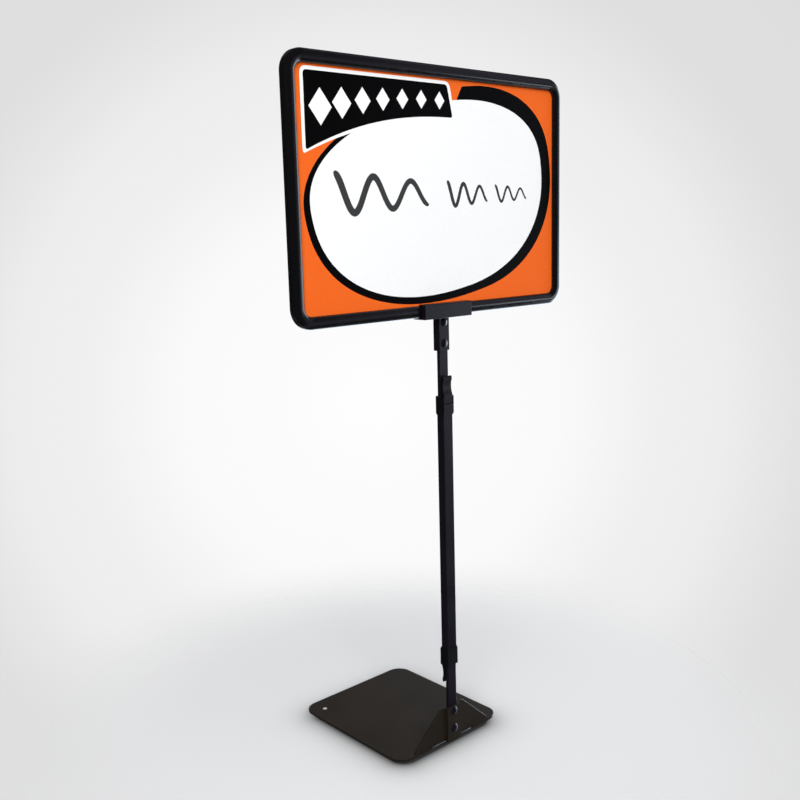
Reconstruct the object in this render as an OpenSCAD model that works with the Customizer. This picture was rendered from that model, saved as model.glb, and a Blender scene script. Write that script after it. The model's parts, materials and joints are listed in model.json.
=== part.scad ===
// Telescoping sign stand. A thin steel plate slides under the goods and folds up at its front
// edge to carry a flat bar. A small rectangular tube with a brake lever at each end couples
// that bar to a second one, which carries a clamp, a moulded frame and its card.
// Millimetres, +Z up, +Y towards the back, origin at the centre of the plate's underside.

/* [Base] */
// Width of the base plate
plate_w = 121; // [110:1:150]
// Depth of the base plate, front to back
plate_d = 134; // [110:1:180]
// Thickness of the sheet that the base is folded from
sheet_t = 1.8; // [1.5:0.1:2.2]
// Corner radius of the base plate
plate_r = 13; // [6:1:20]
// Height of the folded-up trapezoid
upright_h = 31.6; // [28:0.1:36]
// Width of the trapezoid at its foot
upright_foot_w = 88; // [76:1:96]
// Width of the trapezoid at its top
upright_top_w = 27.4; // [24:0.2:32]
// Radius of the hanging hole in the plate
hang_hole_r = 2; // [1.5:0.1:3]

/* [Mast] */
// Width of the two flat bars
bar_w = 10; // [9:0.1:10]
// Thickness of the two flat bars
bar_t = 2.9; // [2.5:0.1:2.9]
// Outer width of the tube
tube_w = 11.4; // [11.4:0.1:12.4]
// Outer depth of the tube
tube_d = 7.3; // [7.3:0.1:8]
// Height of the tube's lower end
tube_z0 = 69.4; // [69:0.2:75]
// Height of the tube's upper end
tube_z1 = 301.5; // [290:0.5:302]
// Length of the collar on each end of the tube
collar_len = 15.3; // [14:0.1:17]
// Length of a lever outside its collar
lever_len = 16.5; // [14:0.5:17]

/* [Sign] */
// Width of the card
card_w = 279.4; // [274:0.1:279.4]
// Height of the card
card_h = 177.8; // [174:0.1:177.8]
// Thickness of the card
card_t = 0.6; // [0.4:0.1:0.8]
// Outer width of the frame
frame_w = 294; // [292:1:296]
// Outer height of the frame
frame_h = 192; // [191:1:194]
// Width of the frame's rails
rail_w = 9.4; // [9:0.1:9.6]
// Thickness of the frame, front to back
rail_d = 8.5; // [8:0.1:9]
// Outer radius of the frame's corners
frame_r = 16; // [14:1:18]
// Height of the frame's lower edge
frame_z0 = 366.8; // [366:0.1:370]
// Length of the clamp along the lower rail
clamp_len = 52; // [40:1:60]

/* [Hidden] */
$fn = 48;
eps = 0.01;
front_y = -plate_d / 2;

// Mast: the tube's axis, and the planes of the two bars about it
mast_y = front_y + 2;
tube_wall = 0.6;
bar_gap = 0.1;
glide_len = 12;
tenon_w = 4;
tenon_len = 5;
lower_bar_z0 = 3;
lower_bar_z1 = 238;
upper_bar_z0 = 132;

// Base: the fold, the pressed channel in the upright and its rivets
fold_r = sheet_t + 0.4;
neck_w = 48;
relief_w = 3;
relief_z = 1.2;
wing_z = fold_r;
channel_w = bar_w + 1.8;
bar_front = mast_y - bar_gap - bar_t;
channel_front = bar_front - sheet_t;
base_rivet_z = [11.5, 27.3];
base_rivet_r = 2;
base_head_r = 4;
hang_hole_at = [-47.3, 51.3];

// Collars and levers, in the end's own frame: z = 0 at the tube's end, -Y on the lever's side
collar_side = 0.85;
collar_front = 1.1;
collar_back = 0.7;
pin_r = 1;
pin_y = -1.6;
pin_z = -8.2;
pin_fit = 0.05;
lever_w = 9.5;
slot_w = 10.1;
lever_slot_z = -6.2;
tube_slot_z = -9.6;

// Head: the bracket on the upper bar, and the clamp above it
bracket_t = 1.1;
bracket_z0 = 338.6;
clamp_t = 1.4;
clamp_front_t = 4;
clamp_gap = 0.1;
bracket_z1 = frame_z0 - clamp_gap - clamp_t;
bracket_d = 6.6;
bracket_rivet_z = [344.4, 361.4];
bracket_rivet_r = 1.6;
bracket_head_r = 3.7;

// Frame: its front plane, and the groove that takes the card
frame_y = mast_y - 3;
groove_t = 1.2;
groove_y = rail_d / 2;
groove_play = 0.3;
edge_groove = 0.8;
card_z0 = frame_z0 + (frame_h - card_h) / 2;
bead_rise = 2.9;
bead_steps = 12;

// ---- shared shapes ----

// A box centred on x and y whose four upright edges are rounded
module round_edged_box(w, d, h, r) {
    translate([-w / 2 + r, -d / 2, 0]) cube([w - 2 * r, d, h]);
    translate([-w / 2, -d / 2 + r, 0]) cube([w, d - 2 * r, h]);
    for (sx = [-1, 1], sy = [-1, 1])
        translate([sx * (w / 2 - r), sy * (d / 2 - r), 0]) cylinder(h = h, r = r);
}

// A low dome that stands on z = 0
module dome(r, h) {
    ball_r = (r * r + h * h) / (2 * h);
    intersection() {
        translate([0, 0, h - ball_r]) sphere(r = ball_r, $fn = 64);
        translate([-r, -r, 0]) cube([2 * r, 2 * r, h + 1]);
    }
}

// A rivet along Y: domed head in front of y0, flat tail behind y1
module rivet(y0, y1, r, head_r, head_h, tail_h) {
    translate([0, y0, 0]) rotate([90, 0, 0]) dome(head_r, head_h);
    translate([0, y1, 0]) rotate([90, 0, 0]) cylinder(h = y1 - y0 + eps, r = r);
    translate([0, y1 + tail_h, 0]) rotate([90, 0, 0]) cylinder(h = tail_h, r = 0.8 * head_r);
}

// A shape that is drawn in y and z, extruded along x about its middle
module across(w) {
    translate([-w / 2, 0, 0]) rotate([90, 0, 90]) linear_extrude(w) children();
}

// ---- base ----

// The upright's outline, drawn in x and z, without the slots beside its neck
module upright_outline() {
    polygon([
        [-upright_foot_w / 2, wing_z], [upright_foot_w / 2, wing_z],
        [upright_foot_w / 2 - 1, wing_z + 3], [upright_top_w / 2 + 1.2, upright_h - 1],
        [upright_top_w / 2 - 0.6, upright_h], [-upright_top_w / 2 + 0.6, upright_h],
        [-upright_top_w / 2 - 1.2, upright_h - 1], [-upright_foot_w / 2 + 1, wing_z + 3]
    ]);
}

module fold() {
    translate([0, front_y + fold_r, fold_r]) difference() {
        rotate([0, 90, 0]) cylinder(h = neck_w, r = fold_r, center = true);
        rotate([0, 90, 0]) cylinder(h = neck_w + 2, r = fold_r - sheet_t, center = true);
        translate([-neck_w, 0, -2 * fold_r]) cube([2 * neck_w, 2 * fold_r, 4 * fold_r]);
        translate([-neck_w, -2 * fold_r, 0]) cube([2 * neck_w, 4 * fold_r, 2 * fold_r]);
    }
}

// The channel pressed forward out of the upright, which holds the foot of the lower bar
module channel(inset) {
    w = channel_w + 2 * sheet_t - 2 * inset;
    z0 = 1 + inset;
    translate([-w / 2, channel_front + inset, z0])
        cube([w, front_y + sheet_t - channel_front - inset + (inset > 0 ? 1 : 0),
            upright_h - z0 + (inset > 0 ? 1 : 0)]);
}

module base_stand() color([0.16, 0.15, 0.14]) {
    difference() {
        union() {
            difference() {
                round_edged_box(plate_w, plate_d, sheet_t, plate_r);
                translate([-neck_w / 2, front_y - 1, -1]) cube([neck_w, fold_r + 1, sheet_t + 2]);
            }
            fold();
            translate([0, front_y + sheet_t, 0]) rotate([90, 0, 0])
                linear_extrude(sheet_t) upright_outline();
            channel(0);
        }
        channel(sheet_t);
        for (sx = [-1, 1]) translate([sx * (neck_w + relief_w) / 2, front_y, 0]) {
            translate([-relief_w / 2, -1, -1]) cube([relief_w, fold_r + 1, relief_z + 1]);
            translate([0, sheet_t + 1, relief_z]) rotate([90, 0, 0])
                cylinder(h = sheet_t + 2, r = relief_w / 2);
        }
        translate([hang_hole_at[0], hang_hole_at[1], -1])
            cylinder(h = sheet_t + 2, r = hang_hole_r);
        for (z = base_rivet_z) translate([0, mast_y, z]) rotate([90, 0, 0])
            cylinder(h = 20, r = base_rivet_r);
    }
}

module base_rivets() color([0.1, 0.1, 0.1])
    for (z = base_rivet_z) translate([0, 0, z])
        rivet(channel_front, bar_front + bar_t, base_rivet_r, base_head_r, 1.7, 1.2);

// ---- mast ----

// A flat bar from z0 to z1 about the tube's axis; side -1 is the front bar, 1 the back one
module flat_bar(side, z0, z1) {
    translate([0, mast_y + side * (bar_gap + bar_t / 2), z0])
        round_edged_box(bar_w, bar_t, z1 - z0, 0.6);
}

module tenon(side, z, len) {
    translate([-tenon_w / 2, mast_y + side * (bar_gap + bar_t / 2) - bar_t / 2, z])
        cube([tenon_w, bar_t, len]);
}

// A moulded glide on the hidden end of a bar; up is 1 at a bar's top and -1 at its foot
module glide(side, z, up) {
    z0 = up > 0 ? z : z - glide_len;
    translate([0, mast_y + side * (bar_gap + bar_t / 2), z0])
        round_edged_box(tube_w - 2 * tube_wall - 0.12, bar_t, glide_len, 0.5);
    tenon(side, up > 0 ? z - tenon_len : z, tenon_len);
}

module lower_bar() color([0.12, 0.12, 0.13]) difference() {
    flat_bar(-1, lower_bar_z0, lower_bar_z1);
    tenon(-1, lower_bar_z1 - tenon_len, tenon_len + 1);
    for (z = base_rivet_z) translate([0, mast_y + 5, z]) rotate([90, 0, 0])
        cylinder(h = 20, r = base_rivet_r);
}

module upper_bar() color([0.12, 0.12, 0.13]) difference() {
    flat_bar(1, upper_bar_z0, bracket_z1 - bracket_t - 0.1);
    tenon(1, upper_bar_z0 - 1, tenon_len + 1);
    for (z = bracket_rivet_z) translate([0, mast_y + 8, z]) rotate([90, 0, 0])
        cylinder(h = 20, r = bracket_rivet_r);
}

module lower_glide() color([0.8, 0.8, 0.78]) glide(-1, lower_bar_z1, 1);
module upper_glide() color([0.8, 0.8, 0.78]) glide(1, upper_bar_z0, -1);

// Puts a shape of the end's own frame on the tube's upper end
module at_upper_end() translate([0, mast_y, tube_z1]) children();

// And on its lower end, turned over, with its lever behind and pointing down
module at_lower_end() translate([0, mast_y, tube_z0]) rotate([180, 0, 0]) children();

module pin_hole(r) translate([0, pin_y, pin_z]) rotate([0, 90, 0])
    cylinder(h = 2 * tube_w, r = r, center = true);

module tube_slot() translate([-slot_w / 2, -tube_d, tube_slot_z])
    cube([slot_w, tube_d / 2 + 2, 1 - tube_slot_z]);

module mast_tube() color([0.12, 0.12, 0.13]) difference() {
    translate([0, mast_y, tube_z0]) round_edged_box(tube_w, tube_d, tube_z1 - tube_z0, 1);
    translate([0, mast_y, tube_z0 - 1])
        round_edged_box(tube_w - 2 * tube_wall, tube_d - 2 * tube_wall, tube_z1 - tube_z0 + 2, 0.4);
    at_upper_end() tube_slot();
    at_lower_end() tube_slot();
    at_upper_end() pin_hole(pin_r);
    at_lower_end() pin_hole(pin_r);
}

module end_collar() {
    w = tube_w + 2 * collar_side;
    d = tube_d + collar_front + collar_back;
    bevel = 1.2;
    y_mid = (collar_back - collar_front) / 2;
    difference() {
        union() {
            translate([0, y_mid, bevel - collar_len])
                round_edged_box(w, d, collar_len - bevel, 1.2);
            translate([0, y_mid, -collar_len]) round_edged_box(w - 0.7, d - 0.7, collar_len, 1);
        }
        translate([0, 0, -collar_len - 1]) round_edged_box(tube_w, tube_d, collar_len + 2, 1);
        translate([-slot_w / 2, -tube_d, lever_slot_z])
            cube([slot_w, tube_d / 2 + 1, 1 - lever_slot_z]);
        pin_hole(pin_r);
    }
}

// The lever's outline in y and z: a nose on the bar, a flared root, a scooped stem and a tab
module lever_outline() {
    root = -tube_d / 2 - collar_front + 0.25;
    stem = -3.05;
    tip = lever_len;
    flare_z0 = 1.2;
    flare_h = 8;
    steps = 8;
    polygon(concat(
        [[-2.1, -13.2], [-0.5, -13.2], [0, -12.6], [-0.05, -11.6], [-0.5, pin_z]],
        [[-1.75, tip - 1.6]],
        [for (a = [0:18:180]) [-2.9 + 1.1 * cos(a), tip - 1.1 + 1.1 * sin(a)]],
        [[-4, tip - 3], [-3.7, tip - 4], [-3.2, tip - 5]],
        [for (i = [0:steps])
            [stem + (root - stem) * pow(i / steps, 2.4), flare_z0 + flare_h * (1 - i / steps)]],
        [[root, lever_slot_z + 0.4], [-2.9, lever_slot_z + 0.4], [-2.9, -9], [-2.3, -10.5]]
    ));
}

module end_lever() difference() {
    across(lever_w) lever_outline();
    pin_hole(pin_r + pin_fit);
}

module end_pin() translate([0, pin_y, pin_z]) rotate([0, 90, 0])
    cylinder(h = tube_w + 2 * collar_side, r = pin_r, center = true);

// A bowed leaf between the tube's wall and the lever's nose, drawn as it is when pressed
module end_spring() across(7)
    polygon([[-3.05, -28], [-2.75, -28], [-1.6, -21], [-2.68, -13.8], [-2.68, -12],
        [-2.98, -12], [-2.98, -14], [-1.95, -21], [-3.05, -27.4]]);

module upper_collar() color([0.07, 0.07, 0.08]) at_upper_end() end_collar();
module lower_collar() color([0.07, 0.07, 0.08]) at_lower_end() end_collar();
module upper_lever() color([0.06, 0.06, 0.06]) at_upper_end() end_lever();
module lower_lever() color([0.06, 0.06, 0.06]) at_lower_end() end_lever();
module upper_lever_pin() color("silver") at_upper_end() end_pin();
module lower_lever_pin() color("silver") at_lower_end() end_pin();
module upper_brake_spring() color("silver") at_upper_end() end_spring();
module lower_brake_spring() color("silver") at_lower_end() end_spring();

// ---- head ----

module stem_bracket() color([0.1, 0.1, 0.11]) difference() {
    w = bar_w + 0.1 + 2 * bracket_t;
    y0 = mast_y + bar_gap - bracket_t;
    translate([0, y0 + bracket_d / 2, bracket_z0])
        round_edged_box(w, bracket_d, bracket_z1 - bracket_z0, 0.9);
    translate([-w / 2 + bracket_t, y0 + bracket_t, bracket_z0 - 1])
        cube([w - 2 * bracket_t, bracket_d, bracket_z1 - bracket_z0 + 1 - bracket_t]);
    for (z = bracket_rivet_z) translate([0, mast_y + 3, z]) rotate([90, 0, 0])
        cylinder(h = 10, r = bracket_rivet_r);
}

module bracket_rivets() color([0.1, 0.1, 0.1])
    for (z = bracket_rivet_z) translate([0, 0, z])
        rivet(mast_y + bar_gap - bracket_t, mast_y + bar_gap + bar_t, bracket_rivet_r,
            bracket_head_r, 1.5, 1.1);

// The clamp's section in y and z: a U around the lower rail with a deep front wall, whose top
// reaches back over the rail's bead to the card
module clamp_outline() {
    y0 = -clamp_gap;
    y1 = rail_d + clamp_gap;
    z0 = -clamp_gap;
    yf = y0 - clamp_front_t;
    yb = y1 + clamp_t;
    top = rail_w + 1;
    lip = groove_y - card_t / 2 - 0.4;
    bend = 0.8;
    polygon(concat(
        [for (a = [180:15:270]) [yf + bend + bend * cos(a), z0 - clamp_t + bend + bend * sin(a)]],
        [for (a = [270:15:360]) [yb - bend + bend * cos(a), z0 - clamp_t + bend + bend * sin(a)]],
        [[yb, top - 1.4], [yb - 0.3, top - 1], [y1, top - 1], [y1, z0], [y0, z0],
            [y0, rail_w + clamp_gap], [lip, rail_w + clamp_gap], [lip, top - 0.3], [lip - 0.3, top]],
        [for (a = [90:15:180]) [yf + bend + bend * cos(a), top - bend + bend * sin(a)]]
    ));
}

module frame_clamp() color([0.1, 0.1, 0.11])
    translate([0, frame_y, frame_z0]) across(clamp_len) clamp_outline();

// The rail's section: u runs outward from the window's edge, y from the front to the back
function bead_y(u) = bead_rise * (1 - pow(1 - pow(abs(2 * u / rail_w - 1), 2.6), 1 / 2.2));

module rail_section() {
    us = [for (i = [0:bead_steps]) rail_w * (1 - cos(180 * i / bead_steps)) / 2];
    g0 = groove_y - groove_t / 2;
    g1 = groove_y + groove_t / 2;
    polygon(concat(
        [for (u = us) [u, bead_y(u)]],
        [[rail_w, g0], [rail_w - edge_groove, g0], [rail_w - edge_groove, g1], [rail_w, g1]],
        [for (i = [bead_steps:-1:0]) [us[i], rail_d - bead_y(us[i]) * 0.55]]
    ));
}

// A quarter of the frame, a corner with half a rail each way, in the frame's own x and z
module frame_quarter(sx, sz) {
    x = frame_w / 2 - frame_r;
    z = frame_h / 2 - frame_r;
    mirror([sx < 0 ? 1 : 0, 0, 0]) mirror([0, 0, sz < 0 ? 1 : 0]) {
        translate([x, 0, z]) rotate([90, 0, 0]) mirror([0, 0, 1])
            rotate_extrude(angle = 90, $fn = 96)
                translate([frame_r - rail_w, 0]) rail_section();
        translate([frame_w / 2 - rail_w, 0, 0]) linear_extrude(z) rail_section();
        translate([0, 0, frame_h / 2 - rail_w]) rotate([0, 90, 0]) mirror([1, 0, 0])
            linear_extrude(x) rail_section();
    }
}

module sign_frame() color([0.03, 0.03, 0.03]) difference() {
    translate([0, frame_y, frame_z0 + frame_h / 2])
        for (sx = [-1, 1], sz = [-1, 1]) frame_quarter(sx, sz);
    translate([-card_w / 2 - groove_play, frame_y + groove_y - groove_t / 2, card_z0])
        cube([card_w + 2 * groove_play, groove_t, frame_h]);
}

module sign_card() color([0.95, 0.42, 0.13])
    translate([-card_w / 2, frame_y + groove_y - card_t / 2, card_z0])
        cube([card_w, card_t, card_h]);

base_stand();
base_rivets();
lower_bar();
lower_glide();
mast_tube();
lower_collar();
lower_lever();
lower_lever_pin();
lower_brake_spring();
upper_collar();
upper_lever();
upper_lever_pin();
upper_brake_spring();
upper_bar();
upper_glide();
stem_bracket();
bracket_rivets();
frame_clamp();
sign_frame();
sign_card();
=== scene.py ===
"""A table-top sign stand: a folded steel base, a telescopic mast with lever collars, a slide-in sign."""

import json
import math

import bmesh
import bpy
from mathutils import Matrix, Vector, geometry


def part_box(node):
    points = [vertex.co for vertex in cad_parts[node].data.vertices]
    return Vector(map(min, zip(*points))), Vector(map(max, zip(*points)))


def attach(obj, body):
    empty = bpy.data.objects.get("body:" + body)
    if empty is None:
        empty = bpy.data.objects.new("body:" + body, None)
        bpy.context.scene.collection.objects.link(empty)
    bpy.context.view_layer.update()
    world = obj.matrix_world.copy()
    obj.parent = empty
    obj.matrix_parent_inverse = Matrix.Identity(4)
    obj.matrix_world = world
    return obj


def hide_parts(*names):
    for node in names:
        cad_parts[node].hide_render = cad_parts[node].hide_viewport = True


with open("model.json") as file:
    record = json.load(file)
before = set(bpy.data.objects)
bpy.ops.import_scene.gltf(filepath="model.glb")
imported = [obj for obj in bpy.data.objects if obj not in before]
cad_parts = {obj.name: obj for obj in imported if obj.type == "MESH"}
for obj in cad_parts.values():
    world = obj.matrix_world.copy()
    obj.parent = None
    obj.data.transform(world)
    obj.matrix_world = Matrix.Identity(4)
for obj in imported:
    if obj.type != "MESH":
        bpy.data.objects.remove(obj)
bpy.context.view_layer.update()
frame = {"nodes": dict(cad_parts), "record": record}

MM = 0.001


# ---------------------------------------------------------------- camera

# Angles in degrees, places in metres, the lens and the sensor in millimetres.
CAMERA_AZIMUTH = -42.1
CAMERA_ELEVATION = 10.12
CAMERA_ROLL = -1.53
CAMERA_PLACE = Vector((-0.5461, -0.6153, 0.4371))
CAMERA_LENS = 43.516
SENSOR_WIDTH = 36.0
NEAREST = 0.01


def make_camera():
    """The camera at the photograph's viewing angle."""
    data = bpy.data.cameras.new("camera")
    data.lens = CAMERA_LENS
    data.sensor_width = SENSOR_WIDTH
    data.clip_start = NEAREST
    camera = bpy.data.objects.new("camera", data)
    turn = Matrix.Rotation(math.radians(CAMERA_AZIMUTH), 4, "Z")
    tip = Matrix.Rotation(math.radians(90 - CAMERA_ELEVATION), 4, "X")
    roll = Matrix.Rotation(math.radians(CAMERA_ROLL), 4, "Z")
    camera.matrix_world = Matrix.Translation(CAMERA_PLACE) @ turn @ tip @ roll
    bpy.context.collection.objects.link(camera)
    bpy.context.scene.camera = camera


# ---------------------------------------------------------------- materials

# Rubbed edges: the reach of the rounded normal, in metres, and the cosines between it and the true one
# that count as edge and as face.
EDGE_SAMPLES = 4
EDGE_TURNED = 0.80
EDGE_FLAT = 0.985
EDGE_REACH_STEEL = 0.0005
EDGE_REACH_PLASTIC = 0.0004

# Specular levels: 0.5 is the whole reflection that the surface's index of refraction gives, 0 is none.
SATIN_GLOSS = 0.3
FULL_GLOSS = 0.5
CARD_GLOSS = 0.02


def new_material(name, colour, roughness, metallic=0.0):
    """A principled material, its node tree and its shader, which holds the uniform values."""
    material = bpy.data.materials.new(name)
    material.use_nodes = True
    tree = material.node_tree
    shader = tree.nodes["Principled BSDF"]
    shader.inputs["Base Color"].default_value = (*colour, 1.0)
    shader.inputs["Roughness"].default_value = roughness
    shader.inputs["Metallic"].default_value = metallic
    return material, tree, shader


def noise(tree, scale, detail=3.0, stretch=(1.0, 1.0, 1.0)):
    """The value of a noise in the object's own coordinates; scale is in cycles per metre."""
    place = tree.nodes.new("ShaderNodeTexCoord")
    mapping = tree.nodes.new("ShaderNodeMapping")
    mapping.inputs["Scale"].default_value = stretch
    texture = tree.nodes.new("ShaderNodeTexNoise")
    texture.inputs["Scale"].default_value = scale
    texture.inputs["Detail"].default_value = detail
    tree.links.new(place.outputs["Object"], mapping.inputs["Vector"])
    tree.links.new(mapping.outputs["Vector"], texture.inputs["Vector"])
    return texture.outputs["Fac"]


def remap(tree, value, low, high, start=0.35, end=0.65):
    """Stretches value, from start to end, over low to high."""
    node = tree.nodes.new("ShaderNodeMapRange")
    node.inputs["From Min"].default_value = start
    node.inputs["From Max"].default_value = end
    node.inputs["To Min"].default_value = low
    node.inputs["To Max"].default_value = high
    tree.links.new(value, node.inputs["Value"])
    return node.outputs["Result"]


def shade_of(colour, factor):
    """The colour made lighter or darker."""
    return tuple(c * factor for c in colour)


def mix_colours(tree, factor, first, second):
    """first where factor is 0 and second where it is 1. Each may be a colour or a socket."""
    node = tree.nodes.new("ShaderNodeMix")
    node.data_type = "RGBA"
    tree.links.new(factor, node.inputs["Factor"])
    for socket, colour in (("A", first), ("B", second)):
        target = next(i for i in node.inputs if i.name == socket and i.type == "RGBA")
        if isinstance(colour, tuple):
            target.default_value = (*colour, 1.0)
        else:
            tree.links.new(colour, target)
    return next(o for o in node.outputs if o.type == "RGBA")


def math_node(tree, operation, first, second=0.0):
    """A math node's result on sockets or numbers."""
    node = tree.nodes.new("ShaderNodeMath")
    node.operation = operation
    for i, value in enumerate((first, second)):
        if isinstance(value, (int, float)):
            node.inputs[i].default_value = value
        else:
            tree.links.new(value, node.inputs[i])
    return node.outputs["Value"]


def edge_mask(tree, radius):
    """1 on sharp edges and 0 on flat faces, by how far a rounded normal turns from the true one."""
    bevel = tree.nodes.new("ShaderNodeBevel")
    bevel.samples = EDGE_SAMPLES
    bevel.inputs["Radius"].default_value = radius
    true_normal = tree.nodes.new("ShaderNodeNewGeometry")
    dot = tree.nodes.new("ShaderNodeVectorMath")
    dot.operation = "DOT_PRODUCT"
    tree.links.new(bevel.outputs["Normal"], dot.inputs[0])
    tree.links.new(true_normal.outputs["Normal"], dot.inputs[1])
    return remap(tree, dot.outputs["Value"], 1.0, 0.0, start=EDGE_TURNED, end=EDGE_FLAT)


def add_bump(tree, shader, height, distance, strength=1.0, under=None):
    """Raises the surface by height times distance, in metres, on top of an earlier bump."""
    bump = tree.nodes.new("ShaderNodeBump")
    bump.inputs["Distance"].default_value = distance
    bump.inputs["Strength"].default_value = strength
    tree.links.new(height, bump.inputs["Height"])
    if under is not None:
        tree.links.new(under, bump.inputs["Normal"])
    tree.links.new(bump.outputs["Normal"], shader.inputs["Normal"])
    return bump.outputs["Normal"]


def coated_steel(name, colour, roughness, worn):
    """Powder-coated sheet steel: a fine orange peel, patchy gloss, faint dust and rubbed edges."""
    material, tree, shader = new_material(name, colour, roughness)
    shader.inputs["Specular IOR Level"].default_value = SATIN_GLOSS
    peel = noise(tree, 900.0, 2.0)
    waves = noise(tree, 140.0, 2.0)
    patches = noise(tree, 28.0, 4.0)
    specks = noise(tree, 2600.0, 1.0)
    edges = edge_mask(tree, EDGE_REACH_STEEL)
    rub = math_node(tree, "MULTIPLY", edges, remap(tree, noise(tree, 420.0), 0.1, 1.0))
    cloudy = mix_colours(tree, remap(tree, patches, 0.0, 1.0), colour, shade_of(colour, 1.25))
    dust = remap(tree, specks, 0.0, 0.35, start=0.60, end=0.74)
    dusty = mix_colours(tree, dust, cloudy, shade_of(colour, 2.2))
    tree.links.new(mix_colours(tree, rub, dusty, worn), shader.inputs["Base Color"])
    tree.links.new(remap(tree, patches, roughness - 0.05, roughness + 0.06), shader.inputs["Roughness"])
    under = add_bump(tree, shader, waves, 0.00002)
    add_bump(tree, shader, peel, 0.000012, 0.8, under)
    return material


def moulded_plastic(name, colour, roughness, worn, gloss=SATIN_GLOSS):
    """Injection-moulded plastic: a soft gloss with slow ripples, fine scuffs and brighter edges."""
    material, tree, shader = new_material(name, colour, roughness)
    shader.inputs["Specular IOR Level"].default_value = gloss
    ripple = noise(tree, 90.0, 2.0)
    fine = noise(tree, 1500.0, 2.0)
    scuffs = noise(tree, 260.0, 5.0, (1.0, 1.0, 0.15))
    edges = edge_mask(tree, EDGE_REACH_PLASTIC)
    rub = math_node(tree, "MULTIPLY", edges, remap(tree, noise(tree, 300.0), 0.0, 1.0))
    worn_spots = remap(tree, scuffs, 0.0, 0.5, start=0.60, end=0.75)
    scuffed = mix_colours(tree, worn_spots, colour, shade_of(colour, 1.5))
    tree.links.new(mix_colours(tree, rub, scuffed, worn), shader.inputs["Base Color"])
    tree.links.new(remap(tree, scuffs, roughness - 0.02, roughness + 0.05), shader.inputs["Roughness"])
    under = add_bump(tree, shader, ripple, 0.00003)
    add_bump(tree, shader, fine, 0.000008, 0.6, under)
    return material


def bare_steel(name, colour, roughness):
    """Bare steel of the pins and springs: drawn lines and slightly uneven polish."""
    material, tree, shader = new_material(name, colour, roughness, metallic=1.0)
    lines = noise(tree, 1200.0, 2.0, (1.0, 1.0, 0.05))
    stains = noise(tree, 300.0, 3.0)
    stained = mix_colours(tree, remap(tree, stains, 0.0, 1.0), colour, shade_of(colour, 0.7))
    tree.links.new(stained, shader.inputs["Base Color"])
    tree.links.new(remap(tree, lines, roughness - 0.06, roughness + 0.12), shader.inputs["Roughness"])
    add_bump(tree, shader, lines, 0.000006)
    return material


def printed_card(name, ink, roughness):
    """Printed card: flat ink with a faint mottle and almost no gloss."""
    material, tree, shader = new_material(name, ink, roughness)
    shader.inputs["Specular IOR Level"].default_value = CARD_GLOSS
    mottle = noise(tree, 700.0, 3.0)
    film = noise(tree, 60.0, 2.0)
    mottled = mix_colours(tree, remap(tree, mottle, 0.0, 1.0), ink, shade_of(ink, 0.96))
    tree.links.new(mottled, shader.inputs["Base Color"])
    tree.links.new(remap(tree, film, roughness - 0.05, roughness + 0.05), shader.inputs["Roughness"])
    add_bump(tree, shader, mottle, 0.000004)
    return material


STEEL_BLACK = (0.0127, 0.0092, 0.0056)
MAST_BLACK = (0.0046, 0.0036, 0.0066)
PLASTIC_BLACK = (0.0030, 0.0030, 0.0036)
RUBBED_STEEL = (0.030, 0.028, 0.027)
RUBBED_PLASTIC = (0.012, 0.012, 0.013)
ORANGE_INK = (0.870, 0.140, 0.018)
WHITE_INK = (0.93, 0.93, 0.925)
BLACK_INK = (0.0020, 0.0020, 0.0022)
MARKER_INK = (0.045, 0.045, 0.047)
GLIDE_BLACK = (0.030, 0.030, 0.031)
PIN_STEEL = (0.060, 0.060, 0.062)
SPRING_STEEL = (0.32, 0.33, 0.36)
# Painted highlight: the hang hole's wall is pale so it shows a bright fleck, standing in for the lit floor
# seen through the hole.
HOLE_PAINTED_FLECK = (0.55, 0.55, 0.55)
HOLE_PAINTED_FLECK_EDGE = (0.60, 0.60, 0.60)

MATERIALS = {
    "base_steel": coated_steel("base_steel", STEEL_BLACK, 0.40, RUBBED_STEEL),
    "mast_steel": coated_steel("mast_steel", MAST_BLACK, 0.34, RUBBED_STEEL),
    "bracket_steel": coated_steel("bracket_steel", MAST_BLACK, 0.34, RUBBED_STEEL),
    "clamp_steel": coated_steel("clamp_steel", MAST_BLACK, 0.36, RUBBED_STEEL),
    "rivet_steel": coated_steel("rivet_steel", MAST_BLACK, 0.20, RUBBED_STEEL),
    "collar_plastic": moulded_plastic("collar_plastic", PLASTIC_BLACK, 0.36, RUBBED_PLASTIC),
    "lever_plastic": moulded_plastic("lever_plastic", PLASTIC_BLACK, 0.32, RUBBED_PLASTIC),
    "glide_plastic": moulded_plastic("glide_plastic", GLIDE_BLACK, 0.45, RUBBED_PLASTIC),
    "frame_plastic": moulded_plastic("frame_plastic", PLASTIC_BLACK, 0.17, RUBBED_PLASTIC, FULL_GLOSS),
    "pin_steel": bare_steel("pin_steel", PIN_STEEL, 0.38),
    # Painted highlight for the hang hole's wall, in place of the lit floor seen through it.
    "hole_wall_painted_fleck": coated_steel("hole_wall_painted_fleck", HOLE_PAINTED_FLECK, 0.45, HOLE_PAINTED_FLECK_EDGE),
    "spring_steel": bare_steel("spring_steel", SPRING_STEEL, 0.28),
    "card_orange": printed_card("card_orange", ORANGE_INK, 0.42),
    "card_white": printed_card("card_white", WHITE_INK, 0.42),
    "card_black": printed_card("card_black", BLACK_INK, 0.46),
    "card_marker": printed_card("card_marker", MARKER_INK, 0.55),
}


# ---------------------------------------------------------------- mesh helpers

def add_piece(name, mesh, materials, body, slot, *nodes):
    """An object for mesh that rides on body, takes its finish from materials and stands for the CAD nodes.
    slot is not used.
    """
    piece = bpy.data.objects.new(name, mesh)
    bpy.context.collection.objects.link(piece)
    for material in materials:
        mesh.materials.append(MATERIALS[material])
    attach(piece, body)
    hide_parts(*nodes)
    return piece


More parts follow.
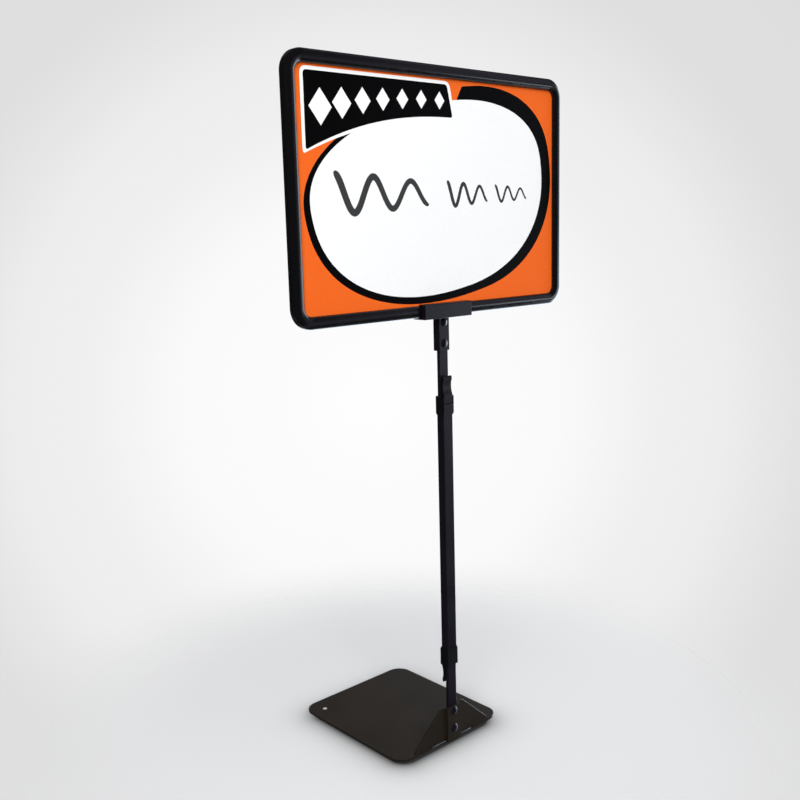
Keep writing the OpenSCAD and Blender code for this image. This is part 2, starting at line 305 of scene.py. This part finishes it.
def bake_modifiers(piece):
    """Replaces the piece's mesh with what its modifiers make of it."""
    depsgraph = bpy.context.evaluated_depsgraph_get()
    result = bpy.data.meshes.new_from_object(piece.evaluated_get(depsgraph))
    old = piece.data
    piece.modifiers.clear()
    piece.data = result
    bpy.data.meshes.remove(old)


def smooth(mesh, angle):
    """Smooth shading with a crease at every edge sharper than angle, in degrees."""
    mesh.shade_smooth()
    mesh.set_sharp_from_angle(angle=math.radians(angle))


# Two points nearer than WELD, in metres, are one, and faces that turn less than FLATNESS are one face. A
# face looks along an axis when the cosine between them is over FACING.
WELD = 1e-6
FLATNESS = math.radians(0.6)
FACING = 0.5
SHARP_EDGE = math.radians(30.0)
CREASE = 50.0
EDGE_SEGMENTS = 3
WIDE_SEGMENTS = 5
AREA_WEIGHT = 100


def cad_mesh(node):
    """A welded copy of a CAD node's mesh whose flat faces are whole again."""
    made = bmesh.new()
    made.from_mesh(frame["nodes"][node].data)
    bmesh.ops.remove_doubles(made, verts=made.verts, dist=WELD)
    bmesh.ops.dissolve_limit(made, angle_limit=FLATNESS, verts=made.verts, edges=made.edges)
    return made


def refined(node, body, material, radius, wider=()):
    """A CAD node with a radius on its sharp edges, after wider's (test, width) pairs have had theirs."""
    made = cad_mesh(node)
    for picked, width in wider:
        chosen = [e for e in made.edges if picked(e)]
        bmesh.ops.bevel(
            made, geom=chosen, offset=width, segments=WIDE_SEGMENTS, affect="EDGES", profile=0.5,
            clamp_overlap=True)
    mesh = bpy.data.meshes.new(node + "_refined")
    made.to_mesh(mesh)
    made.free()
    piece = add_piece(node + "_body", mesh, [material], body, material, node)
    bevel = piece.modifiers.new("edge_radius", "BEVEL")
    bevel.width = radius
    bevel.segments = EDGE_SEGMENTS
    bevel.limit_method = "ANGLE"
    bevel.angle_limit = SHARP_EDGE
    bevel.use_clamp_overlap = True
    bake_modifiers(piece)
    smooth(piece.data, CREASE)
    flatten = piece.modifiers.new("flat_faces", "WEIGHTED_NORMAL")
    flatten.weight = AREA_WEIGHT
    flatten.keep_sharp = True
    bake_modifiers(piece)
    return piece


# ---------------------------------------------------------------- sign frame

RAIL_WIDTH = 9.4 * MM
BEAD_FRONT = 2.9 * MM
BEAD_BACK = 0.55 * BEAD_FRONT
CORNER_RADIUS = 16.0 * MM
BEAD_SIDE_POWER = 2.1
BEAD_RISE_POWER = 2.0
GROOVE_DEPTH = 0.8 * MM
GROOVE_WIDTH = 1.2 * MM
SLOT_WIDTH = 1.2 * MM
SLOT_CLEARANCE = 0.3 * MM
BEAD_STEPS = 28
CORNER_STEPS = 24
BEAD_CREASE = 32.0


def bead(rise, sign):
    """Points (in from the outer edge, outward rise) across a bead; sign -1 runs from the inner edge."""
    points = []
    for i in range(BEAD_STEPS + 1):
        angle = sign * math.pi * (i / BEAD_STEPS - 0.5)
        reach = math.copysign(abs(math.sin(angle)) ** (2 / BEAD_SIDE_POWER), angle)
        height = max(math.cos(angle), 0.0) ** (2 / BEAD_RISE_POWER)
        points.append((RAIL_WIDTH * (0.5 + reach / 2), rise * height))
    return points


def rail_section(front, back):
    """The closed section of a rail as (in from the outer edge, y), with the groove in its outer wall."""
    wall_front = front + BEAD_FRONT
    wall_back = back - BEAD_BACK
    middle = card_middle()
    section = [(u, wall_front - rise) for u, rise in bead(BEAD_FRONT, 1)]
    section += [(u, wall_back + rise) for u, rise in bead(BEAD_BACK, -1)]
    section += [
        (0.0, middle + GROOVE_WIDTH / 2),
        (GROOVE_DEPTH, middle + GROOVE_WIDTH / 2),
        (GROOVE_DEPTH, middle - GROOVE_WIDTH / 2),
        (0.0, middle - GROOVE_WIDTH / 2),
    ]
    return section


def card_middle():
    """The y of the card's middle plane."""
    low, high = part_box("sign_card")
    return (low.y + high.y) / 2


def make_frame():
    """The sign frame: a section swept round a rounded rectangle, with the card's slot in its top rail."""
    low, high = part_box("sign_frame")
    card_low, card_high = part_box("sign_card")
    section = rail_section(low.y, high.y)
    corners = [
        (high.x - CORNER_RADIUS, high.z - CORNER_RADIUS, 0.0),
        (low.x + CORNER_RADIUS, high.z - CORNER_RADIUS, 90.0),
        (low.x + CORNER_RADIUS, low.z + CORNER_RADIUS, 180.0),
        (high.x - CORNER_RADIUS, low.z + CORNER_RADIUS, 270.0),
    ]
    made = bmesh.new()
    rings = []
    for x, z, start in corners:
        for i in range(CORNER_STEPS + 1):
            angle = math.radians(start + 90.0 * i / CORNER_STEPS)
            across, up = math.cos(angle), math.sin(angle)
            rings.append([
                made.verts.new((x + (CORNER_RADIUS - u) * across, y, z + (CORNER_RADIUS - u) * up))
                for u, y in section
            ])
    for i, ring in enumerate(rings):
        following = rings[(i + 1) % len(rings)]
        for j in range(len(section)):
            k = (j + 1) % len(section)
            made.faces.new((ring[j], following[j], following[k], ring[k]))
    bmesh.ops.recalc_face_normals(made, faces=made.faces)
    mesh = bpy.data.meshes.new("sign_frame_swept")
    made.to_mesh(mesh)
    made.free()
    piece = add_piece("sign_frame_swept", mesh, ["frame_plastic"], "head", "frame_plastic", "sign_frame")

    cutter = box_object(
        "slot_cutter",
        Vector((card_low.x - SLOT_CLEARANCE, card_middle() - SLOT_WIDTH / 2, card_low.z)),
        Vector((card_high.x + SLOT_CLEARANCE, card_middle() + SLOT_WIDTH / 2, high.z + RAIL_WIDTH)),
    )
    cut = piece.modifiers.new("slot", "BOOLEAN")
    cut.operation = "DIFFERENCE"
    cut.solver = "EXACT"
    cut.object = cutter
    bake_modifiers(piece)
    bpy.data.objects.remove(cutter)
    smooth(piece.data, BEAD_CREASE)


def box_object(name, low, high):
    """A plain box between two corners, for cutting with."""
    made = bmesh.new()
    bmesh.ops.create_cube(made, size=1.0)
    for vert in made.verts:
        vert.co = Vector(l + (h - l) * (c + 0.5) for l, h, c in zip(low, high, vert.co))
    mesh = bpy.data.meshes.new(name)
    made.to_mesh(mesh)
    made.free()
    cutter = bpy.data.objects.new(name, mesh)
    bpy.context.collection.objects.link(cutter)
    return cutter


# ---------------------------------------------------------------- printed card

# Places on the card are (x, z) in millimetres. Each oval is four quarters of a superellipse about
# one centre, turned by tilt, in degrees.
RING_OUTER = {"centre": (27.0, 475.5), "left": 162.5, "right": 108.5, "down": 92.5, "up": 68.5, "tilt": 11.0}
RING_INNER = {"centre": (11.0, 471.5), "left": 140.0, "right": 113.0, "down": 85.0, "up": 61.0, "tilt": 9.4}
OVAL_POWER = 2.25
OVAL_STEPS = 180
RING_CUT = ((13.0, 522.0), (28.0, 548.0))
RING_TAIL_X = -89.0
RING_TAIL_Z = 498.0
RING_TAIL_LENGTH = 20.0

BANNER_LEFT = -129.5
BANNER_RIGHT_TOP = 9.5
BANNER_RIGHT = 15.5
BANNER_TOP = 545.2
BANNER_DROP = 29.0
BANNER_DROP_POWER = 2.3
BANNER_BOTTOM = 520.5
BANNER_CORNER = 3.0
BANNER_BORDER = 2.8
BANNER_STEPS = 36
BANNER_TOP_GROWTH = 0.9
DIAMONDS = 7
DIAMOND_REACH = 0.27
DIAMOND_WIDTH = 0.8
BAND_MARGIN = 0.03

# Marker strokes: first x, last x, middle z, height, number of waves, width. A wave loses the SETTLE
# share of its height by its end and the TAPER share of its width. Each end is rounded over 1/ENDS of it.
STROKES = (
    (-106.0, -12.0, 462.0, 15.0, 2.5, 6.0),
    (8.0, 55.0, 462.0, 10.0, 2.5, 3.6),
    (64.0, 104.0, 462.5, 7.0, 2.5, 2.6),
)
STROKE_STEPS = 90
STROKE_SETTLE = 0.45
STROKE_TAPER = 0.35
STROKE_ENDS = 18
STROKE_LEAST = 0.02

SOFT_STEPS = 6
SOFT_TURN = math.radians(25)

# The print's points nearer than this are one.
PRINT_WELD = 1e-4

# The material numbers of the card's inks.
ORANGE, WHITE, BLACK, MARKER = range(4)


def oval(shape):
    """The points of a four-quarter superellipse, anticlockwise."""
    tilt = math.radians(shape["tilt"])
    points = []
    for i in range(OVAL_STEPS):
        angle = 2 * math.pi * i / OVAL_STEPS
        c, s = math.cos(angle), math.sin(angle)
        along = math.copysign(abs(c) ** (2 / OVAL_POWER), c) * (shape["right"] if c > 0 else shape["left"])
        up = math.copysign(abs(s) ** (2 / OVAL_POWER), s) * (shape["up"] if s > 0 else shape["down"])
        points.append((
            shape["centre"][0] + along * math.cos(tilt) - up * math.sin(tilt),
            shape["centre"][1] + along * math.sin(tilt) + up * math.cos(tilt),
        ))
    return points


def in_oval(shape, x, z):
    """Whether a place lies inside the oval."""
    tilt = math.radians(shape["tilt"])
    dx, dz = x - shape["centre"][0], z - shape["centre"][1]
    along = dx * math.cos(tilt) + dz * math.sin(tilt)
    up = dz * math.cos(tilt) - dx * math.sin(tilt)
    across = abs(along) / (shape["right"] if along > 0 else shape["left"])
    height = abs(up) / (shape["up"] if up > 0 else shape["down"])
    return across ** OVAL_POWER + height ** OVAL_POWER < 1


def round_corners(points, radius):
    """Replaces the sharp corners of an outline with short curves that start radius away."""
    made = []
    for i, point in enumerate(points):
        before, here, after = Vector(points[i - 1]), Vector(point), Vector(points[(i + 1) % len(points)])
        turn = (here - before).angle(after - here, 0.0)
        if turn < SOFT_TURN:
            made.append(tuple(here))
            continue
        start = here + (before - here).normalized() * min(radius, (before - here).length * 0.5)
        end = here + (after - here).normalized() * min(radius, (after - here).length * 0.5)
        for k in range(SOFT_STEPS + 1):
            t = k / SOFT_STEPS
            made.append(tuple(start * (1 - t) ** 2 + here * 2 * t * (1 - t) + end * t ** 2))
    return made


def banner(grow):
    """The heading band's outline, grown all round: straight on top, and sweeping down to the left below."""
    left, right = BANNER_LEFT - grow, BANNER_RIGHT + grow
    below = []
    for i in range(BANNER_STEPS + 1):
        t = i / BANNER_STEPS
        drop = BANNER_DROP * t ** BANNER_DROP_POWER
        below.append((right + (left - right) * t, BANNER_BOTTOM - grow - drop))
    top = BANNER_TOP + grow * BANNER_TOP_GROWTH
    outline = [(left, top), *reversed(below), (BANNER_RIGHT_TOP + grow, top)]
    return round_corners(outline, BANNER_CORNER + grow)


def diamonds():
    """Plain diamonds along the band, each as tall as the band allows."""
    made = []
    for i in range(DIAMONDS):
        t = BAND_MARGIN + (1 - 2 * BAND_MARGIN) * (i + 0.5) / DIAMONDS
        x = BANNER_RIGHT + (BANNER_LEFT - BANNER_RIGHT) * t
        low = BANNER_BOTTOM - BANNER_DROP * t ** BANNER_DROP_POWER
        z, reach = (low + BANNER_TOP) / 2, (BANNER_TOP - low) * DIAMOND_REACH
        side = reach * DIAMOND_WIDTH
        made.append([(x - side, z), (x, z - reach), (x + side, z), (x, z + reach)])
    return made


def stroke(first, last, middle, height, waves, width):
    """A marker line's outline: a wave that starts tall and settles, with a round start and a thinner end."""
    line = []
    for i in range(STROKE_STEPS + 1):
        t = i / STROKE_STEPS
        line.append(Vector((
            first + (last - first) * t,
            middle + height * (1 - STROKE_SETTLE * t) * math.sin(2 * math.pi * waves * t + math.pi / 2),
        )))
    sides = ([], [])
    for i, point in enumerate(line):
        along = (line[min(i + 1, STROKE_STEPS)] - line[max(i - 1, 0)]).normalized()
        t = i / STROKE_STEPS
        half = width / 2 * (1 - STROKE_TAPER * t)
        into = min(t, 1 - t) * STROKE_ENDS
        if into < 1:
            half *= math.sqrt(max(1 - (1 - into) ** 2, STROKE_LEAST))
        offset = Vector((-along.y, along.x)) * half
        sides[0].append(tuple(point + offset))
        sides[1].append(tuple(point - offset))
    return sides[0] + sides[1][::-1]


def in_outline(outline, x, z):
    """Whether a place lies inside a closed outline."""
    inside = False
    for i, (x1, z1) in enumerate(outline):
        x0, z0 = outline[i - 1]
        if (z0 > z) != (z1 > z) and x < x0 + (z - z0) * (x1 - x0) / (z1 - z0):
            inside = not inside
    return inside


def in_ring_gap(x, z):
    """Whether a place lies behind the heading, between the ring's cut start and its tail."""
    (x0, z0), (x1, z1) = RING_CUT
    return z > RING_TAIL_Z and RING_TAIL_X < x < x0 + (z - z0) * (x1 - x0) / (z1 - z0)


def make_card():
    """The printed card: a thin white sheet whose front is divided along the print's edges."""
    low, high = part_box("sign_card")
    left, right, bottom, top = low.x / MM, high.x / MM, low.z / MM, high.z / MM
    edge = [(left, bottom), (right, bottom), (right, top), (left, top)]
    black_band, white_band = banner(0.0), banner(BANNER_BORDER)
    marks = diamonds()
    strokes = [stroke(*s) for s in STROKES]
    tail = [(RING_TAIL_X, RING_TAIL_Z), (RING_TAIL_X, RING_TAIL_Z + RING_TAIL_LENGTH)]
    outlines = [edge, oval(RING_OUTER), oval(RING_INNER), black_band, white_band, *marks, *strokes]
    points, lines = [], []
    for outline in outlines:
        start = len(points)
        points += [Vector(p) for p in outline]
        lines += [(start + i, start + (i + 1) % len(outline)) for i in range(len(outline))]
    for line in (RING_CUT, tail):
        lines.append((len(points), len(points) + 1))
        points += [Vector(p) for p in line]
    places, _, triangles, _, _, _ = geometry.delaunay_2d_cdt(points, lines, [], 0, PRINT_WELD)

    def ink(x, z):
        """The material number of the print at a place."""
        if in_outline(black_band, x, z):
            return WHITE if any(in_outline(m, x, z) for m in marks) else BLACK
        if in_outline(white_band, x, z):
            return WHITE
        if in_oval(RING_INNER, x, z):
            return MARKER if any(in_outline(s, x, z) for s in strokes) else WHITE
        if in_oval(RING_OUTER, x, z) and not in_ring_gap(x, z):
            return BLACK
        return ORANGE

    made = bmesh.new()
    front = [made.verts.new((p.x * MM, low.y, p.y * MM)) for p in places]
    for triangle in triangles:
        face = made.faces.new([front[i] for i in triangle])
        x = sum(places[i].x for i in triangle) / 3
        z = sum(places[i].y for i in triangle) / 3
        face.material_index = ink(x, z)
    rim = [e for e in made.edges if e.is_boundary]
    grown = bmesh.ops.extrude_edge_only(made, edges=rim)["geom"]
    back = [g for g in grown if isinstance(g, bmesh.types.BMVert)]
    for vert in back:
        vert.co.y = high.y
    back_rim = [e for e in made.edges if e.is_boundary]
    bmesh.ops.contextual_create(made, geom=back_rim)
    bmesh.ops.recalc_face_normals(made, faces=made.faces)
    for face in made.faces:
        if face.normal.y > -FACING:
            face.material_index = WHITE
    mesh = bpy.data.meshes.new("sign_card_printed")
    made.to_mesh(mesh)
    made.free()
    inks = ["card_orange", "card_white", "card_black", "card_marker"]
    add_piece("sign_card_printed", mesh, inks, "card", "card_stock", "sign_card")


# ---------------------------------------------------------------- refined hardware

# Radii of the base's edges and bends, and the sizes by which its edges are told apart.
BASE_EDGE = 0.5 * MM
CHANNEL_CORNER = 0.9 * MM
CHANNEL_ROOT = 1.8 * MM
CHANNEL_HALF = 7.7 * MM
WING_SLOPE = 0.8 * MM
HOLE_REACH = 2.6 * MM
NEAR = 0.1 * MM
LONG = 10 * MM
SLANT = 5 * MM
CHANNEL_STEP = 2 * MM

# Each CAD node that is finished by rounding alone: its body, its material and its edges' radius in mm.
ROUNDED = (
    ("base_rivets", "base", "rivet_steel", 0.15),
    ("lower_bar", "base", "mast_steel", 0.12),
    ("lower_glide", "base", "glide_plastic", 0.2),
    ("mast_tube", "mast", "mast_steel", 0.12),
    ("lower_collar", "mast", "collar_plastic", 0.35),
    ("upper_collar", "mast", "collar_plastic", 0.35),
    ("lower_lever", "lower_release", "lever_plastic", 0.3),
    ("upper_lever", "upper_release", "lever_plastic", 0.3),
    ("upper_bar", "head", "mast_steel", 0.12),
    ("upper_glide", "head", "glide_plastic", 0.2),
    ("stem_bracket", "head", "bracket_steel", 0.25),
    ("bracket_rivets", "head", "rivet_steel", 0.15),
    ("frame_clamp", "head", "clamp_steel", 0.3),
)


def is_upright(edge):
    """Whether an edge is vertical and long."""
    a, b = (v.co for v in edge.verts)
    return (a.xy - b.xy).length < NEAR and abs(a.z - b.z) > LONG


def is_channel_corner(edge):
    """Whether an edge is long and on the pressed channel's front: its two corners and a flat seam."""
    low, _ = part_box("base_stand")
    return is_upright(edge) and abs(edge.verts[0].co.y - low.y) < NEAR


def is_channel_root(edge):
    """Whether an edge is one of the two long inner bends where the channel meets a wing."""
    low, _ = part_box("base_stand")
    place = edge.verts[0].co
    behind = place.y - low.y > CHANNEL_STEP
    return is_upright(edge) and behind and abs(abs(place.x) - CHANNEL_HALF) < NEAR


def is_wing_slope(edge):
    """Whether an edge runs down a wing's slanted side."""
    along = edge.verts[1].co - edge.verts[0].co
    return abs(along.y) < NEAR and abs(along.x) > SLANT and abs(along.z) > SLANT


def hang_hole():
    """The middle of the hanging hole, from the record's mount."""
    mount = next(m for m in frame["record"]["mounts"] if m["name"] == "hang_hole")
    return Vector(mount["pos_m"])


WIDER = ((is_channel_root, CHANNEL_ROOT), (is_channel_corner, CHANNEL_CORNER), (is_wing_slope, WING_SLOPE))
base = refined("base_stand", "base", "base_steel", BASE_EDGE, WIDER)
# The hang hole's wall faces get the pale material: a painted bright fleck in place of the lit floor seen
# through the hole.
base.data.materials.append(MATERIALS["hole_wall_painted_fleck"])
hole = hang_hole()
for polygon in base.data.polygons:
    if abs(polygon.normal.z) < FACING and (polygon.center.xy - hole.xy).length < HOLE_REACH:
        polygon.material_index = 1
for node, body, material, radius in ROUNDED:
    refined(node, body, material, radius * MM)
make_frame()
make_card()

for node in ("lower_lever_pin", "upper_lever_pin", "lower_brake_spring", "upper_brake_spring"):
    data = frame["nodes"][node].data
    data.materials.clear()
    data.materials.append(MATERIALS["pin_steel" if "pin" in node else "spring_steel"])


# ---------------------------------------------------------------- stage and light

# Lengths in metres. The floor is solid near the stand and fades to nothing further out.
FLOOR_RADIUS = 3.0
FLOOR_SIDES = 96
FLOOR_SOLID = 0.12
FLOOR_GONE = 0.45
FLOOR_DROP = 0.0002
FLOOR_COLOUR = (0.72, 0.72, 0.72)
FLOOR_ROUGHNESS = 0.9
FLOOR_GLOSS = 0.1
# The SHADE values paint a soft shadow into the floor's colour round the plate.
SHADE_COLOUR = (0.03, 0.03, 0.03)
SHADE_SHIFT = Vector((-0.0065, -0.0065))
SHADE_INSET = 0.0065
SHADE_REACH = 0.0105
PLATE_CORNER = 0.013


def painted_contact_shade(tree, place):
    """A painted shadow for the floor's colour: 1 under the plate, falling to 0 away from it, and shifted
    towards the front left.
    """
    low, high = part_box("base_stand")
    middle = Vector(((low.x + high.x) / 2, (low.y + high.y) / 2)) + SHADE_SHIFT
    inset = PLATE_CORNER + SHADE_INSET
    half = Vector(((high.x - low.x) / 2 - inset, (high.y - low.y) / 2 - inset))
    split = tree.nodes.new("ShaderNodeSeparateXYZ")
    tree.links.new(place, split.inputs["Vector"])
    beyond = []
    for axis, centre, reach in (("X", middle.x, half.x), ("Y", middle.y, half.y)):
        away = math_node(tree, "ABSOLUTE", math_node(tree, "SUBTRACT", split.outputs[axis], centre))
        past = math_node(tree, "MAXIMUM", math_node(tree, "SUBTRACT", away, reach))
        beyond.append(math_node(tree, "POWER", past, 2.0))
    distance = math_node(tree, "SQRT", math_node(tree, "ADD", *beyond))
    outside = math_node(tree, "MAXIMUM", math_node(tree, "SUBTRACT", distance, PLATE_CORNER))
    return math_node(tree, "EXPONENT", math_node(tree, "DIVIDE", outside, -SHADE_REACH))


def make_floor():
    """A pale floor with a soft shadow painted into its colour round the plate, fading out away from the
    stand.
    """
    made = bmesh.new()
    bmesh.ops.create_circle(made, cap_ends=True, segments=FLOOR_SIDES, radius=FLOOR_RADIUS)
    mesh = bpy.data.meshes.new("floor")
    made.to_mesh(mesh)
    made.free()
    floor = bpy.data.objects.new("floor", mesh)
    floor.location = (0.0, 0.0, -FLOOR_DROP)
    floor.visible_glossy = False
    bpy.context.collection.objects.link(floor)
    material, tree, shader = new_material("floor_paper", FLOOR_COLOUR, FLOOR_ROUGHNESS)
    shader.inputs["Specular IOR Level"].default_value = FLOOR_GLOSS
    place = tree.nodes.new("ShaderNodeTexCoord").outputs["Object"]
    # Painted shadow: the floor's colour darkens towards SHADE_COLOUR round the plate.
    shade = painted_contact_shade(tree, place)
    tree.links.new(mix_colours(tree, shade, FLOOR_COLOUR, SHADE_COLOUR), shader.inputs["Base Color"])
    length = tree.nodes.new("ShaderNodeVectorMath")
    length.operation = "LENGTH"
    tree.links.new(place, length.inputs[0])
    fade = tree.nodes.new("ShaderNodeMapRange")
    fade.interpolation_type = "SMOOTHERSTEP"
    fade.inputs["From Min"].default_value = FLOOR_SOLID
    fade.inputs["From Max"].default_value = FLOOR_GONE
    tree.links.new(length.outputs["Value"], fade.inputs["Value"])
    clear = tree.nodes.new("ShaderNodeBsdfTransparent")
    blend = tree.nodes.new("ShaderNodeMixShader")
    tree.links.new(fade.outputs["Result"], blend.inputs["Fac"])
    tree.links.new(shader.outputs["BSDF"], blend.inputs[1])
    tree.links.new(clear.outputs["BSDF"], blend.inputs[2])
    tree.links.new(blend.outputs["Shader"], tree.nodes["Material Output"].inputs["Surface"])
    mesh.materials.append(material)


def direction(azimuth, elevation):
    """The unit vector that a camera at that azimuth and elevation looks along."""
    a, e = math.radians(azimuth), math.radians(elevation)
    return Vector((-math.sin(a) * math.cos(e), math.cos(a) * math.cos(e), math.sin(e)))


def towards(tree, place, aim):
    """The cosine between the looked-at direction and aim."""
    dot = tree.nodes.new("ShaderNodeVectorMath")
    dot.operation = "DOT_PRODUCT"
    dot.inputs[1].default_value = aim
    tree.links.new(place, dot.inputs[0])
    return dot.outputs["Value"]


def ramp_of(tree, factor, stops):
    """A smooth ramp through (position, colour) stops."""
    ramp = tree.nodes.new("ShaderNodeValToRGB")
    ramp.color_ramp.interpolation = "EASE"
    elements = ramp.color_ramp.elements
    while len(elements) > 1:
        elements.remove(elements[-1])
    elements[0].position, elements[0].color = stops[0][0], (*stops[0][1], 1.0)
    for position, colour in stops[1:]:
        elements.new(position).color = (*colour, 1.0)
    tree.links.new(factor, ramp.inputs["Fac"])
    return ramp.outputs["Color"]


def grey(value):
    """A neutral colour."""
    return (value, value, value)


# The pool is the backdrop's bright middle. Its stops are fractions of its reach.
POOL_AZIMUTH = -40.5
POOL_ELEVATION = -10.0
POOL_REACH = math.radians(45.0)
POOL_STOPS = (
    (0.0, grey(0.990)), (0.22, grey(0.955)), (0.40, grey(0.86)), (0.60, grey(0.735)), (1.0, grey(0.66)))
# The room's stops are cosines of the angle from its bright side. At 0.28 there is a faint violet patch.
BRIGHT_SIDE = Vector((0.85, 0.42, -0.35)).normalized()
ROOM_STOPS = (
    (0.05, grey(0.04)), (0.28, (0.34, 0.32, 0.42)), (0.42, grey(0.04)), (0.62, (0.075, 0.07, 0.06)),
    (0.74, grey(0.20)), (0.85, (1.1, 1.25, 1.5)), (0.96, (2.9, 3.3, 3.8)))


def make_world():
    """The camera sees a pale backdrop with a pool of light. Surfaces see a dim room, bright at low right."""
    world = bpy.data.worlds.new("studio")
    bpy.context.scene.world = world
    world.use_nodes = True
    tree = world.node_tree
    tree.nodes.clear()
    place = tree.nodes.new("ShaderNodeTexCoord").outputs["Generated"]
    pool = towards(tree, place, direction(POOL_AZIMUTH, POOL_ELEVATION))
    turn = math_node(tree, "DIVIDE", math_node(tree, "ARCCOSINE", pool), POOL_REACH)
    backdrop = tree.nodes.new("ShaderNodeBackground")
    tree.links.new(ramp_of(tree, turn, POOL_STOPS), backdrop.inputs["Color"])
    room = tree.nodes.new("ShaderNodeBackground")
    bright = towards(tree, place, BRIGHT_SIDE)
    tree.links.new(ramp_of(tree, bright, ROOM_STOPS), room.inputs["Color"])
    seen = tree.nodes.new("ShaderNodeLightPath")
    choose = tree.nodes.new("ShaderNodeMixShader")
    tree.links.new(seen.outputs["Is Camera Ray"], choose.inputs["Fac"])
    tree.links.new(room.outputs["Background"], choose.inputs[1])
    tree.links.new(backdrop.outputs["Background"], choose.inputs[2])
    output = tree.nodes.new("ShaderNodeOutputWorld")
    tree.links.new(choose.outputs["Shader"], output.inputs["Surface"])


def soft_box(name, place, target, size, power, colour=(1.0, 1.0, 1.0), mirrored=True):
    """A rectangular soft light at place, facing target. Gloss shows it only if it is mirrored."""
    data = bpy.data.lights.new(name, "AREA")
    data.shape = "RECTANGLE"
    data.size, data.size_y = size
    data.energy = power
    data.color = colour
    lamp = bpy.data.objects.new(name, data)
    lamp.location = place
    lamp.rotation_euler = (Vector(target) - Vector(place)).to_track_quat("-Z", "Y").to_euler()
    lamp.visible_glossy = mirrored
    lamp.visible_camera = False
    bpy.context.collection.objects.link(lamp)


# Places and sizes in metres, powers in watts.
SIGN_MIDDLE = (0.0, -0.065, 0.45)
SIGN_CORNER = (0.147, -0.065, 0.37)
GROUND = (0.0, 0.0, 0.0)
COOL = (0.80, 0.89, 1.0)

make_floor()
make_world()
soft_box("key", (-1.3, -1.7, 1.5), SIGN_MIDDLE, (1.8, 1.8), 78.0, mirrored=False)
soft_box("top", (0.1, 0.1, 2.3), GROUND, (2.4, 2.4), 26.0, mirrored=False)
soft_box("side", (1.5, -0.25, 0.32), SIGN_MIDDLE, (1.1, 1.3), 14.0, COOL)
soft_box("low", (1.32, -1.0, 0.25), SIGN_CORNER, (0.45, 0.25), 1.0, COOL)
make_camera()
bpy.context.scene.view_settings.view_transform = "Standard"
